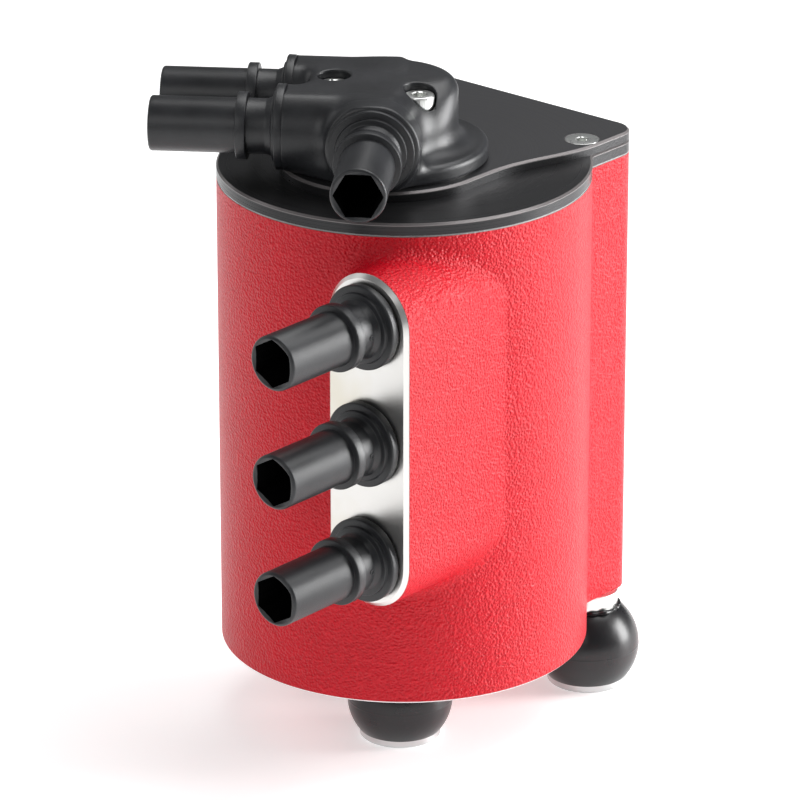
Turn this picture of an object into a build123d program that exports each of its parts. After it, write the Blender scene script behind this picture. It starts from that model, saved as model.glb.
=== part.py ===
from build123d import *
from math import cos, hypot, radians, sin
import os

# A fluid separator can: a red aluminium can with a block of three side ports, a black
# lid with a moulded valve head, six quick-connect spigots and three rubber ball feet.
# Everything is drawn about the can's axis, with Z = 0 at the can's lower rim, and is
# moved at the end so that the origin is on the floor under the middle of the object.

# --- driving dimensions, in millimetres ---------------------------------------------
CAN_R = 54.0
CAN_H = 143.0
CAVITY_R = 47.0
LEDGE_R = 45.0
LEDGE_Z = 30.0
FLOOR_Z = 16.0
SKIRT_R = 49.5
RIM_CHAMFER = 0.5
REACH = 12.0

BLOCK_HALF = 38.2
BLOCK_BACK = 60.0
BLOCK_Z = 6.0
BLOCK_CORNER_R = 7.0
BLOCK_ROOT_R = 4.0

PORT_X = 36.9
PORT_FACE = 58.9
PORT_Z = (122.0, 87.0, 52.0)
BOSS_HALF = 14.7
BOSS_DEPTH = 46.0
BOSS_ROOT_R = 5.5
BOSS_CHAMFER = 1.2
PORT_PASSAGE_L = 32.0

LID_T = 3.5
PLATEAU_T = 3.0
PLATEAU_R = 30.5
PLATEAU_Y = -8.0
LID_CHAMFER = 0.6
PLUG_R = 46.8
PLUG_T = 6.0
LID_GROOVE_Z = 4.0
LID_GROOVE_T = 2.4
LID_GROOVE_DEPTH = 1.7
LID_RING_R = 0.93
HEX_FLATS = 4.0
HEX_DEPTH = 2.4
LID_SCREW_X = 32.3
LID_SCREW_Y = 41.0
LID_SCREW_HEAD_R = 5.0
LID_SCREW_L = 20.0
LID_SCREW_HEAD_T = 2.5
LID_SCREW_HEX = 3.0
SUNK = 0.2

HEAD_Y = -7.0
HEAD_ANGLE = 35.5
HEAD_GAP = 0.8
HEAD_FLANGE_R = 28.7
HEAD_FLANGE_T = 4.6
HEAD_AXIS = 12.5
HEAD_TOP = 23.9
HEAD_DRUM_R = 20.0
HEAD_WEB = 22.5
HEAD_EDGE_R = 2.5
LEFT_SPACING = 26.6
LEFT_OVERRUN = 6.0
LEFT_RING = 31.1
FRONT_X = -1.5
FRONT_RING = 34.7
FRONT_OVERRUN = 3.0
SOCKET_R = 12.3
FRONT_SOCKET_R = 13.1
HEAD_SCREWS = ((-15.5, 0.3), (9.6, -8.1))
HEAD_SCREW_TOP = 21.7
HEAD_SCREW_L = 25.0
HEAD_SCREW_HEAD_R = 4.25
HEAD_SCREW_HEAD_T = 5.0
HEAD_TAP_L = 10.0
POCKET_R = 4.8
LEFT_PASSAGE_L = 30.0
FRONT_PASSAGE_L = 18.0
GASKET_EDGE = 1.2

SPIGOT_R = 15.82 / 2
SPIGOT_BORE = 12.0
SPIGOT_L = 36.2
BEAD_R = 9.65
BEAD_W = 3.0
BEAD_FRONT = 25.0
FLANGE_R = 12.3
FLANGE_T = 3.0
SHANK_R = 8.95
SHANK_L = 14.0
END_GAP = 0.5
STEP_W = 2.0
STEP_T = 0.6
STEP_CONE = 1.4
TIP_ROUND = 0.8
BEAD_ROUND = 0.35
FLANGE_ROUND = 0.4
LEAD_IN = 0.75
LEAD_IN_DEPTH = 1.4
SOCKET_BORE_R = 9.0
RING_GROOVE_R = 10.5
RING_GROOVE_T = 1.45
PASSAGE_R = 5.5

CHAMBER_R = 9.0
OUTLET_R = 5.5
SEAT_DEPTH = 2.5
LIFT_GAP = 0.3
POPPET_R = 7.0
POPPET_T = 2.0
STEM_R = 2.0
STEM_TOP = 14.0
GUIDE_Z = 9.1
GUIDE_T = 2.2
SPRING_R = 5.2
SPRING_WIRE_R = 0.4
SPRING_TURNS = 4
SPRING_GAP = 0.02
SEAT_STAND = 0.5
SEAT_BEVEL = 0.8
POPPET_BEVEL = 0.5
STEM_BEVEL = 0.4
GUIDE_RIM = 1.6
GUIDE_HUB = 1.4
GUIDE_ARM_W = 1.8

TUBE_R = 10.0
TUBE_WALL = 2.0
TUBE_BOTTOM = 63.0
ELEMENT_R = 20.0
ELEMENT_TOP = 132.0
TUBE_SEAT = 2.0
TUBE_HOLE_R = 2.5
TUBE_HOLES = range(74, 130, 10)
CAP_T = 3.0
CAP_PIN_L = 6.0
CAP_ROUND = 1.0
CLIP_W = 3.0
CLIP_T = 1.2
CLIP_SLOT = 4.0
BAFFLE_T = 2.0
BAFFLE_GAP = 0.2
BAFFLE_HOLE_R = 2.5
BAFFLE_HOLES = ((10, 6), (20, 12), (30, 18), (39, 24))

FOOT_PLACES = {"front": (13.8, -17.9), "middle": (-17.4, 2.2), "rear": (31.0, 48.0)}
FOOT_H = 29.5
FOOT_NOTCH_R = 17.0
BALL_R = 15.5
BALL_Z = 12.0
BASE_R = 11.9
BASE_T = 2.5
COLLAR_R = 9.0
COLLAR_Z = 24.6
BASE_CHAMFER = 0.5
PIN_R = 6.0
PIN_L = 6.5
FLOOR_TAP_L = 7.5
STUD_L = 8.5
STUD_TAP_L = 9.0
M6_R = 3.0
M6_TAP_R = 2.5
M5_R = 2.5
FIT = 0.05
HOLE_PLAY = 0.3

LID_Z = CAN_H + LID_T
TOP_Z = LID_Z + PLATEAU_T
HEAD_Z = TOP_Z + HEAD_GAP
ROOT_Y = (CAN_R**2 - BLOCK_HALF**2) ** 0.5
PAD_CURVE_START = 2.0
PAD_CURVE_END = ROOT_Y + 4.0
CORNER_X = BLOCK_HALF - BLOCK_CORNER_R
CORNER_Y = BLOCK_BACK - BLOCK_CORNER_R


# --- helpers ---------------------------------------------------------------------------
def level(z, x=0.0, y=0.0):
    """Horizontal plane at height z, its origin at (x, y)."""
    return Plane(origin=(x, y, z))


def head_plane(z, x=0.0, y=0.0):
    """Horizontal plane turned with the valve head, its origin at the head's own (x, y)."""
    turn = radians(HEAD_ANGLE)
    place = (x * cos(turn) - y * sin(turn), HEAD_Y + x * sin(turn) + y * cos(turn), z)
    return Plane(origin=place, x_dir=(cos(turn), sin(turn), 0), z_dir=(0, 0, 1))


def head_side(x, y, angle):
    """Upright plane of a socket in the head, facing angle degrees round in the head's frame."""
    face = radians(HEAD_ANGLE + angle)
    return Plane(origin=head_plane(TOP_Z + HEAD_AXIS, x, y).origin, z_dir=(cos(face), sin(face), 0))


def can_outline():
    """Plan of the can: a circle with a flat-backed block behind it."""
    with BuildSketch() as outline:
        Circle(CAN_R)
        with Locations((0, BLOCK_BACK / 2)):
            Rectangle(2 * BLOCK_HALF, BLOCK_BACK)
        fillet(outline.vertices().group_by(Axis.Y)[-1], BLOCK_CORNER_R)
        roots = outline.vertices().filter_by(lambda v: abs(hypot(v.X, v.Y) - CAN_R) < 0.01)
        fillet(roots.filter_by(lambda v: v.Y > 1), BLOCK_ROOT_R)
    return outline.sketch


def near_radius(edge, radius):
    """True where the middle of an edge is at this distance from the can's axis."""
    middle = edge.position_at(0.5)
    return abs(hypot(middle.X, middle.Y) - radius) < 0.02


PIECES = []


def finished(piece, name):
    """Give a finished piece its name and keep it for writing."""
    piece.part.label = name
    PIECES.append(piece.part)


# --- can ---------------------------------------------------------------------------------
PORT_PLANES = [
    Plane(origin=(PORT_X, -PORT_FACE, z), x_dir=(1, 0, 0), z_dir=(0, -1, 0)) for z in PORT_Z
]
SOCKET_STEPS = ((RING_GROOVE_R, RING_GROOVE_T), (SOCKET_BORE_R, SHANK_L + END_GAP))

with BuildPart() as can_body:
    with BuildSketch(level(BLOCK_Z)):
        add(can_outline())
    extrude(amount=CAN_H - BLOCK_Z)
    with BuildSketch(level(0)):
        Circle(CAN_R)
    extrude(amount=BLOCK_Z)
    with BuildSketch(PORT_PLANES[1]):
        SlotOverall(PORT_Z[0] - PORT_Z[-1] + 2 * BOSS_HALF, 2 * BOSS_HALF, rotation=90)
    extrude(amount=-BOSS_DEPTH)
    front = can_body.edges().filter_by(lambda e: near_radius(e, CAN_R) and e.position_at(0.5).Y < -5)
    fillet(front.filter_by(lambda e: BLOCK_Z + 2 < e.position_at(0.5).Z < CAN_H - 1), BOSS_ROOT_R)
    chamfer(can_body.faces().sort_by(Axis.Y)[0].edges(), BOSS_CHAMFER)
    rims = can_body.edges().group_by(Axis.Z)
    chamfer(rims[-1], RIM_CHAMFER)
    chamfer(rims[0], RIM_CHAMFER)
    with BuildSketch(level(0)):
        Circle(SKIRT_R)
        with Locations(FOOT_PLACES["rear"]):
            Circle(FOOT_NOTCH_R)
    extrude(amount=BLOCK_Z, mode=Mode.SUBTRACT)
    with BuildSketch(level(FLOOR_Z)):
        Circle(LEDGE_R)
    extrude(amount=CAN_H - FLOOR_Z, mode=Mode.SUBTRACT)
    with BuildSketch(level(LEDGE_Z)):
        Circle(CAVITY_R)
    extrude(amount=CAN_H - LEDGE_Z, mode=Mode.SUBTRACT)
    for plane in PORT_PLANES:
        for radius, depth in (*SOCKET_STEPS, (PASSAGE_R, PORT_PASSAGE_L)):
            with BuildSketch(plane):
                Circle(radius)
            extrude(amount=-depth, mode=Mode.SUBTRACT)
    with BuildSketch(level(CAN_H)):
        with Locations((LID_SCREW_X, LID_SCREW_Y), (-LID_SCREW_X, LID_SCREW_Y)):
            Circle(M5_R)
    extrude(amount=-LID_SCREW_L, mode=Mode.SUBTRACT)
    with BuildSketch(level(BLOCK_Z)):
        with Locations(*FOOT_PLACES.values()):
            Circle(M6_R)
    extrude(amount=STUD_TAP_L, mode=Mode.SUBTRACT)
finished(can_body, "can_body")

# --- lid, one machined plate with a raised pad -----------------------------------------------
with BuildPart() as lid:
    with BuildSketch(level(CAN_H)):
        add(can_outline())
    extrude(amount=LID_T)
    front_edge = lid.edges().group_by(Axis.Z)[-1].filter_by(lambda e: near_radius(e, CAN_R))
    chamfer(front_edge, LID_CHAMFER)
    with BuildSketch(level(LID_Z)):
        with BuildLine():
            CenterArc((0, PLATEAU_Y), PLATEAU_R, -90, 90)
            Line((PLATEAU_R, PLATEAU_Y), (PLATEAU_R, PAD_CURVE_START))
            flare = ((PLATEAU_R, PAD_CURVE_START), (BLOCK_HALF, PAD_CURVE_END))
            Spline(*flare, tangents=((0, 1), (0, 1)))
            Line((BLOCK_HALF, PAD_CURVE_END), (BLOCK_HALF, CORNER_Y))
            CenterArc((CORNER_X, CORNER_Y), BLOCK_CORNER_R, 0, 90)
            Line((CORNER_X, BLOCK_BACK), (0, BLOCK_BACK))
            Line((0, BLOCK_BACK), (0, PLATEAU_Y - PLATEAU_R))
        make_face()
        mirror(about=Plane.YZ)
    extrude(amount=PLATEAU_T)
    chamfer(lid.edges().group_by(Axis.Z)[-1], LID_CHAMFER)
    with BuildSketch(level(CAN_H)):
        Circle(PLUG_R)
    extrude(amount=-PLUG_T)
    with BuildSketch(level(CAN_H - LID_GROOVE_Z)):
        Circle(PLUG_R + 1)
        Circle(PLUG_R - LID_GROOVE_DEPTH, mode=Mode.SUBTRACT)
    extrude(amount=LID_GROOVE_T, mode=Mode.SUBTRACT)
    with Locations((LID_SCREW_X, LID_SCREW_Y, TOP_Z), (-LID_SCREW_X, LID_SCREW_Y, TOP_Z)):
        CounterSinkHole(M5_R + HOLE_PLAY, LID_SCREW_HEAD_R + SUNK, depth=LID_T + PLATEAU_T)
    for radius, low, high in (
        (OUTLET_R, CAN_H - PLUG_T, TOP_Z),
        (TUBE_R + FIT, CAN_H - PLUG_T, CAN_H + TUBE_SEAT),
        (CHAMBER_R, TOP_Z - SEAT_DEPTH, TOP_Z),
    ):
        with BuildSketch(level(low, 0, HEAD_Y)):
            Circle(radius)
        extrude(amount=high - low, mode=Mode.SUBTRACT)
    for x, y in HEAD_SCREWS:
        with BuildSketch(head_plane(TOP_Z, x, y)):
            Circle(M5_R)
        extrude(amount=-HEAD_TAP_L, mode=Mode.SUBTRACT)
finished(lid, "lid")

with BuildPart() as lid_o_ring:
    with BuildSketch(Plane.XZ):
        with Locations((PLUG_R - LID_GROOVE_DEPTH + LID_RING_R, CAN_H - LID_GROOVE_Z + LID_GROOVE_T / 2)):
            Circle(LID_RING_R)
    revolve(axis=Axis.Z)
finished(lid_o_ring, "lid_o_ring")

with BuildPart() as lid_screws:
    for x in (-LID_SCREW_X, LID_SCREW_X):
        with BuildSketch(level(TOP_Z - LID_SCREW_L, x, LID_SCREW_Y)):
            Circle(M5_R - FIT)
        extrude(amount=LID_SCREW_L)
        with BuildSketch(level(TOP_Z - SUNK, x, LID_SCREW_Y)):
            Circle(LID_SCREW_HEAD_R)
        extrude(amount=-LID_SCREW_HEAD_T, taper=45)
        with BuildSketch(level(TOP_Z, x, LID_SCREW_Y)):
            RegularPolygon(LID_SCREW_HEX / 2, 6, major_radius=False)
        extrude(amount=-HEX_DEPTH, mode=Mode.SUBTRACT)
finished(lid_screws, "lid_screws")

# --- valve head --------------------------------------------------------------------------------
LEFT_Y = (-LEFT_SPACING / 2, LEFT_SPACING / 2)
LEFT_SEAT = LEFT_RING - FLANGE_T
FRONT_SEAT = FRONT_RING - FLANGE_T
LEFT_PLANES = [head_side(-LEFT_SEAT, y, 180) for y in LEFT_Y]
FRONT_PLANE = head_side(FRONT_X, -FRONT_SEAT, -90)
HEAD_PASSAGES = (LEFT_PASSAGE_L, LEFT_PASSAGE_L, FRONT_SEAT + FRONT_PASSAGE_L)
HEAD_SCREW_SEAT = TOP_Z + HEAD_SCREW_TOP - HEAD_SCREW_HEAD_T

with BuildPart() as valve_head:
    with BuildSketch(head_plane(HEAD_Z)):
        Circle(HEAD_FLANGE_R)
    extrude(amount=HEAD_FLANGE_T)
    with BuildSketch(head_plane(HEAD_Z)):
        Circle(HEAD_DRUM_R)
        with Locations((-HEAD_WEB, 0)):
            Rectangle(HEAD_WEB, LEFT_SPACING, align=(Align.MIN, Align.CENTER))
    extrude(amount=TOP_Z + HEAD_TOP - HEAD_Z)
    fillet(valve_head.edges().group_by(Axis.Z)[-1], HEAD_EDGE_R)
    for plane in LEFT_PLANES:
        with BuildSketch(plane):
            Circle(SOCKET_R)
        extrude(amount=-LEFT_SEAT - LEFT_OVERRUN)
    with BuildSketch(FRONT_PLANE):
        Circle(FRONT_SOCKET_R)
    extrude(amount=-FRONT_SEAT - FRONT_OVERRUN)
    split(bisect_by=level(HEAD_Z), keep=Keep.TOP)
    with BuildSketch(head_plane(HEAD_Z)):
        Circle(CHAMBER_R)
    extrude(amount=GUIDE_Z + GUIDE_T - HEAD_GAP, mode=Mode.SUBTRACT)
    for plane, passage in zip([*LEFT_PLANES, FRONT_PLANE], HEAD_PASSAGES):
        for radius, depth in (*SOCKET_STEPS, (PASSAGE_R, passage), (FLANGE_R + HOLE_PLAY, -FLANGE_T - 1)):
            with BuildSketch(plane):
                Circle(radius)
            extrude(amount=-depth, mode=Mode.SUBTRACT)
    for x, y in HEAD_SCREWS:
        with BuildSketch(head_plane(HEAD_SCREW_SEAT, x, y)):
            Circle(POCKET_R)
        extrude(amount=REACH, mode=Mode.SUBTRACT)
        with BuildSketch(head_plane(HEAD_Z, x, y)):
            Circle(M5_R + HOLE_PLAY)
        extrude(amount=HEAD_SCREW_SEAT - HEAD_Z, mode=Mode.SUBTRACT)
finished(valve_head, "valve_head")

with BuildPart() as head_gasket:
    with BuildSketch(head_plane(TOP_Z)):
        Circle(HEAD_FLANGE_R - GASKET_EDGE)
        Circle(CHAMBER_R + HOLE_PLAY, mode=Mode.SUBTRACT)
        with Locations(*HEAD_SCREWS):
            Circle(M5_R + HOLE_PLAY, mode=Mode.SUBTRACT)
    extrude(amount=HEAD_GAP)
finished(head_gasket, "head_gasket")

with BuildPart() as head_screws:
    for x, y in HEAD_SCREWS:
        with BuildSketch(head_plane(HEAD_SCREW_SEAT, x, y)):
            Circle(HEAD_SCREW_HEAD_R)
        extrude(amount=HEAD_SCREW_HEAD_T)
        with BuildSketch(head_plane(HEAD_SCREW_SEAT, x, y)):
            Circle(M5_R - FIT)
        extrude(amount=-HEAD_SCREW_L)
        with BuildSketch(head_plane(TOP_Z + HEAD_SCREW_TOP, x, y)):
            RegularPolygon(HEX_FLATS / 2, 6, major_radius=False)
        extrude(amount=-HEX_DEPTH, mode=Mode.SUBTRACT)
finished(head_screws, "head_screws")

# --- quick-connect spigots, six alike, drawn with the seat of the flange at Z = 0 ----------------
SPIGOT_TIP = FLANGE_T + SPIGOT_L
BEAD_Z = SPIGOT_TIP - BEAD_FRONT - BEAD_W

with BuildPart() as spigot:
    with BuildSketch(Plane.XZ):
        with BuildLine():
            Polyline(
                (0, -SHANK_L),
                (SHANK_R, -SHANK_L),
                (SHANK_R, 0),
                (FLANGE_R, 0),
                (FLANGE_R, FLANGE_T),
                (SPIGOT_R + STEP_W, FLANGE_T),
                (SPIGOT_R + STEP_W, FLANGE_T + STEP_T),
                (SPIGOT_R, FLANGE_T + STEP_T + STEP_CONE),
                (SPIGOT_R, BEAD_Z),
                (BEAD_R, BEAD_Z),
                (BEAD_R, BEAD_Z + BEAD_W),
                (SPIGOT_R, BEAD_Z + BEAD_W),
                (SPIGOT_R, SPIGOT_TIP),
                (0, SPIGOT_TIP),
                close=True,
            )
        make_face()
    revolve(axis=Axis.Z)
    rims = spigot.edges().filter_by(GeomType.CIRCLE)
    fillet(rims.group_by(Axis.Z)[-1], TIP_ROUND)
    fillet(rims.filter_by(lambda e: abs(e.radius - BEAD_R) < 0.01), BEAD_ROUND)
    fillet(rims.filter_by(lambda e: abs(e.radius - FLANGE_R) < 0.01), FLANGE_ROUND)
    with BuildSketch(level(-SHANK_L)):
        RegularPolygon(SPIGOT_BORE / 2, 6, major_radius=False)
    extrude(amount=SHANK_L + SPIGOT_TIP, mode=Mode.SUBTRACT)
    with BuildSketch(level(SPIGOT_TIP)):
        Circle(SPIGOT_R - LEAD_IN)
    extrude(amount=-LEAD_IN_DEPTH, taper=45, mode=Mode.SUBTRACT)

with BuildPart() as o_ring:
    with BuildSketch(Plane.XZ):
        with Locations(((SOCKET_BORE_R + RING_GROOVE_R) / 2, -RING_GROOVE_T / 2)):
            Circle(RING_GROOVE_T / 2 - 0.01)
    revolve(axis=Axis.Z)

SPIGOT_PLANES = {
    "side_spigot_upper": PORT_PLANES[0],
    "side_spigot_middle": PORT_PLANES[1],
    "side_spigot_lower": PORT_PLANES[2],
    "head_spigot_left_near": LEFT_PLANES[0],
    "head_spigot_left_far": LEFT_PLANES[1],
    "head_spigot_front": FRONT_PLANE,
}
for name, plane in SPIGOT_PLANES.items():
    with BuildPart() as placed_spigot:
        add(spigot.part.moved(plane.location))
    finished(placed_spigot, name)

RING_PLANES = {"side_port_o_rings": PORT_PLANES, "head_port_o_rings": [*LEFT_PLANES, FRONT_PLANE]}
for name, planes in RING_PLANES.items():
    with BuildPart() as rings:
        for plane in planes:
            add(o_ring.part.moved(plane.location))
    finished(rings, name)

# --- non-return valve under the head: seat, poppet, spring and guide --------------------------
SEAT_TOP = TOP_Z + SEAT_STAND
POPPET_Z = SEAT_TOP + LIFT_GAP

with BuildPart() as valve_seat:
    with BuildSketch(level(TOP_Z - SEAT_DEPTH, 0, HEAD_Y)):
        Circle(CHAMBER_R - FIT)
        Circle(OUTLET_R, mode=Mode.SUBTRACT)
    extrude(amount=SEAT_TOP - TOP_Z + SEAT_DEPTH)
    lip = valve_seat.edges().filter_by(GeomType.CIRCLE).group_by(Axis.Z)[-1].sort_by(SortBy.RADIUS)[-1]
    chamfer(lip, SEAT_BEVEL)
finished(valve_seat, "valve_seat")

with BuildPart() as valve_poppet:
    with BuildSketch(level(POPPET_Z, 0, HEAD_Y)):
        Circle(POPPET_R)
    extrude(amount=POPPET_T)
    chamfer(valve_poppet.edges().group_by(Axis.Z)[0], POPPET_BEVEL)
    with BuildSketch(level(POPPET_Z, 0, HEAD_Y)):
        Circle(STEM_R)
    extrude(amount=TOP_Z + STEM_TOP - POPPET_Z)
    chamfer(valve_poppet.edges().group_by(Axis.Z)[-1], STEM_BEVEL)
finished(valve_poppet, "valve_poppet")

with BuildPart() as valve_guide:
    with BuildSketch(head_plane(TOP_Z + GUIDE_Z)):
        Circle(CHAMBER_R - FIT)
        Circle(CHAMBER_R - GUIDE_RIM, mode=Mode.SUBTRACT)
        Circle(STEM_R + GUIDE_HUB)
        with PolarLocations((CHAMBER_R + STEM_R) / 2, 3):
            Rectangle(CHAMBER_R - STEM_R - GUIDE_RIM / 2, GUIDE_ARM_W)
        Circle(STEM_R + FIT, mode=Mode.SUBTRACT)
    extrude(amount=GUIDE_T)
finished(valve_guide, "valve_guide")

SPRING_LOW = POPPET_Z + POPPET_T + SPRING_WIRE_R + SPRING_GAP
SPRING_HIGH = TOP_Z + GUIDE_Z - SPRING_WIRE_R - SPRING_GAP
with BuildPart() as valve_spring:
    with BuildLine(level(SPRING_LOW, 0, HEAD_Y)) as coil:
        Helix((SPRING_HIGH - SPRING_LOW) / SPRING_TURNS, SPRING_HIGH - SPRING_LOW, SPRING_R)
    with BuildSketch(coil.line ^ 0):
        Circle(SPRING_WIRE_R)
    sweep(path=coil.line, is_frenet=True)
finished(valve_spring, "valve_spring")

# --- separator inside the can: outlet tube, mesh element and its fixings, baffle -----------------
with BuildPart() as outlet_tube:
    with BuildSketch(level(TUBE_BOTTOM, 0, HEAD_Y)):
        Circle(TUBE_R)
        Circle(TUBE_R - TUBE_WALL, mode=Mode.SUBTRACT)
    extrude(amount=CAN_H + TUBE_SEAT - TUBE_BOTTOM)
    for height in TUBE_HOLES:
        with BuildSketch(Plane(origin=(0, HEAD_Y, height), z_dir=(1, 0, 0))):
            Circle(TUBE_HOLE_R)
        extrude(amount=REACH, both=True, mode=Mode.SUBTRACT)
finished(outlet_tube, "outlet_tube")

with BuildPart() as mesh_element:
    with BuildSketch(level(TUBE_BOTTOM + FIT, 0, HEAD_Y)):
        Circle(ELEMENT_R)
        Circle(TUBE_R + FIT, mode=Mode.SUBTRACT)
    extrude(amount=ELEMENT_TOP - TUBE_BOTTOM - 2 * FIT)
finished(mesh_element, "mesh_element")

with BuildPart() as element_cap:
    with BuildSketch(level(TUBE_BOTTOM, 0, HEAD_Y)):
        Circle(ELEMENT_R + 1)
    extrude(amount=-CAP_T)
    fillet(element_cap.edges().group_by(Axis.Z)[0], CAP_ROUND)
    with BuildSketch(level(TUBE_BOTTOM, 0, HEAD_Y)):
        Circle(TUBE_R - TUBE_WALL - FIT)
    extrude(amount=CAP_PIN_L)
finished(element_cap, "element_cap")

with BuildPart() as element_clip:
    with BuildSketch(level(ELEMENT_TOP, 0, HEAD_Y)):
        Circle(TUBE_R + CLIP_W)
        Circle(TUBE_R + FIT, mode=Mode.SUBTRACT)
        with Locations((0, TUBE_R + CLIP_W / 2)):
            Rectangle(CLIP_SLOT, 2 * CLIP_W, mode=Mode.SUBTRACT)
    extrude(amount=CLIP_T)
finished(element_clip, "element_clip")

with BuildPart() as baffle_plate:
    with BuildSketch(level(LEDGE_Z)):
        Circle(CAVITY_R - BAFFLE_GAP)
        for radius, count in BAFFLE_HOLES:
            with PolarLocations(radius, count):
                Circle(BAFFLE_HOLE_R, mode=Mode.SUBTRACT)
    extrude(amount=BAFFLE_T)
finished(baffle_plate, "baffle_plate")

# --- rubber ball feet ------------------------------------------------------------------------------
FOOT_BOTTOM = BLOCK_Z - FOOT_H
for name, (x, y) in FOOT_PLACES.items():
    with BuildPart() as foot_rubber:
        with Locations((x, y, FOOT_BOTTOM + BALL_Z)):
            Sphere(BALL_R)
        split(bisect_by=level(FOOT_BOTTOM + COLLAR_Z), keep=Keep.BOTTOM)
        split(bisect_by=level(FOOT_BOTTOM + BASE_T), keep=Keep.TOP)
        with BuildSketch(level(FOOT_BOTTOM + BASE_T, x, y)):
            Circle(PIN_R)
        extrude(amount=PIN_L, mode=Mode.SUBTRACT)
        with BuildSketch(level(FOOT_BOTTOM + COLLAR_Z, x, y)):
            Circle(PIN_R)
        extrude(amount=-PIN_L, mode=Mode.SUBTRACT)
    finished(foot_rubber, f"foot_{name}_rubber")

    with BuildPart() as foot_base:
        with BuildSketch(level(FOOT_BOTTOM, x, y)):
            Circle(BASE_R)
        extrude(amount=BASE_T)
        chamfer(foot_base.edges().group_by(Axis.Z)[0], BASE_CHAMFER)
        with BuildSketch(level(FOOT_BOTTOM + BASE_T, x, y)):
            Circle(PIN_R)
        extrude(amount=PIN_L)
        with BuildSketch(level(FOOT_BOTTOM, x, y)):
            Circle(M6_TAP_R)
        extrude(amount=FLOOR_TAP_L, mode=Mode.SUBTRACT)
    finished(foot_base, f"foot_{name}_base")

    with BuildPart() as foot_stud:
        with BuildSketch(level(FOOT_BOTTOM + COLLAR_Z, x, y)):
            Circle(COLLAR_R)
        extrude(amount=FOOT_H - COLLAR_Z)
        with BuildSketch(level(FOOT_BOTTOM + COLLAR_Z, x, y)):
            Circle(PIN_R)
        extrude(amount=-PIN_L)
        with BuildSketch(level(BLOCK_Z, x, y)):
            Circle(M6_R - FIT)
        extrude(amount=STUD_L)
    finished(foot_stud, f"foot_{name}_stud")

# --- write every piece, with the origin on the floor under the middle of the object --------------
whole = Compound(children=[piece.moved(Location()) for piece in PIECES]).bounding_box()
to_origin = Location((-whole.center().X, -whole.center().Y, -whole.min.Z))
print("size", whole.size, "axis of the can at", to_origin.position)

os.makedirs("parts", exist_ok=True)
for piece in PIECES:
    placed = piece.moved(to_origin)
    placed.label = piece.label
    export_step(placed, f"parts/{piece.label}.step")
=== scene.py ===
# %% [markdown]
# # A separator can with a valve head
#
# A red aluminium can stands on three rubber balls. A black lid carries a moulded valve head,
# and six alike quick-connect spigots lead in and out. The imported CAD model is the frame: it
# already holds every size, place and joint. This lesson gives its pieces their real surfaces:
# moulded blends, turned rings, wrinkle powder coat and bare machined metal.

from math import atan2, cos, pi, radians, sin

import bpy
import numpy as np
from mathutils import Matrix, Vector


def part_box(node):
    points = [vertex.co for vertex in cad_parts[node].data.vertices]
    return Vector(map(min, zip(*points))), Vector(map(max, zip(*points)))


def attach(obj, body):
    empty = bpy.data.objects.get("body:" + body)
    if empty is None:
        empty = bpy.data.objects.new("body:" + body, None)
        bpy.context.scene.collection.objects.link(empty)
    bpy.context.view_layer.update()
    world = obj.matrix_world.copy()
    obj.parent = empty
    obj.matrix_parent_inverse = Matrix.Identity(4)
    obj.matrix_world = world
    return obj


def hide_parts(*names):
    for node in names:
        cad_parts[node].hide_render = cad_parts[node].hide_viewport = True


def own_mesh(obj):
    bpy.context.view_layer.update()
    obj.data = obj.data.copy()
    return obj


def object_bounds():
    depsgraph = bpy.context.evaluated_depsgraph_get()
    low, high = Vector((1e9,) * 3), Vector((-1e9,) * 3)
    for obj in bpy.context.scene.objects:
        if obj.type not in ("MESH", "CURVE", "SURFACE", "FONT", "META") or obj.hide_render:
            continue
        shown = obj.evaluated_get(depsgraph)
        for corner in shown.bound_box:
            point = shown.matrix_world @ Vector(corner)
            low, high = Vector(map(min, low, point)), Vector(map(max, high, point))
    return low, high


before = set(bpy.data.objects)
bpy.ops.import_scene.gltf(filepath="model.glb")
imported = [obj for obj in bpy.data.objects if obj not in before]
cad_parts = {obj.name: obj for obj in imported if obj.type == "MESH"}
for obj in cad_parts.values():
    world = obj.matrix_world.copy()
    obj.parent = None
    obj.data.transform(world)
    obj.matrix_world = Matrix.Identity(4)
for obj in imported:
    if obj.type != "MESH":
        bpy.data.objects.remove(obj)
cad_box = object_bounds()
MM = 0.001

# %% [markdown]
# ## Places
#
# Nothing is measured again here. The can's axis is the middle of the baffle plate, which
# is a disc on that axis, and the head's own axes follow from the two parallel spigots.
# Heights are kept in millimetres above the can's lower rim, as on a drawing.

# %% Read the main places from the frame
def node_middle(node):
    """Middle of a node's box, in metres."""
    low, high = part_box(node)
    return (Vector(low) + Vector(high)) / 2


def node_low(node):
    """Lowest corner of a node's box, in metres."""
    return Vector(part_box(node)[0])


def node_high(node):
    """Highest corner of a node's box, in metres."""
    return Vector(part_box(node)[1])


AXIS = node_middle("baffle_plate")
CAN_LOW = node_low("can_body").z
CAN_TOP = node_high("can_body").z
PORT_FACE_Y = node_low("can_body").y
LID_TOP = node_high("lid").z
HEAD_AXIS = node_middle("valve_seat")
print("axis of the can", tuple(round(v, 4) for v in AXIS), "lid top", round(LID_TOP, 4))

# %% [markdown]
# ## Camera, light and floor
#
# The view looks down a little on the front right of the can, from far enough away that
# the upright edges stay almost parallel. The floor and the light are plain and pale, with
# one large soft light from the right that makes the long pale streak on the red coat.

# %% Camera
VIEW_AROUND = 40.73
VIEW_AWAY = 1520.98 * MM
VIEW_HEIGHT = 675.65 * MM
VIEW_PITCH = 68.368
VIEW_TURN = 40.777
LENS_MM = 252.45

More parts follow.
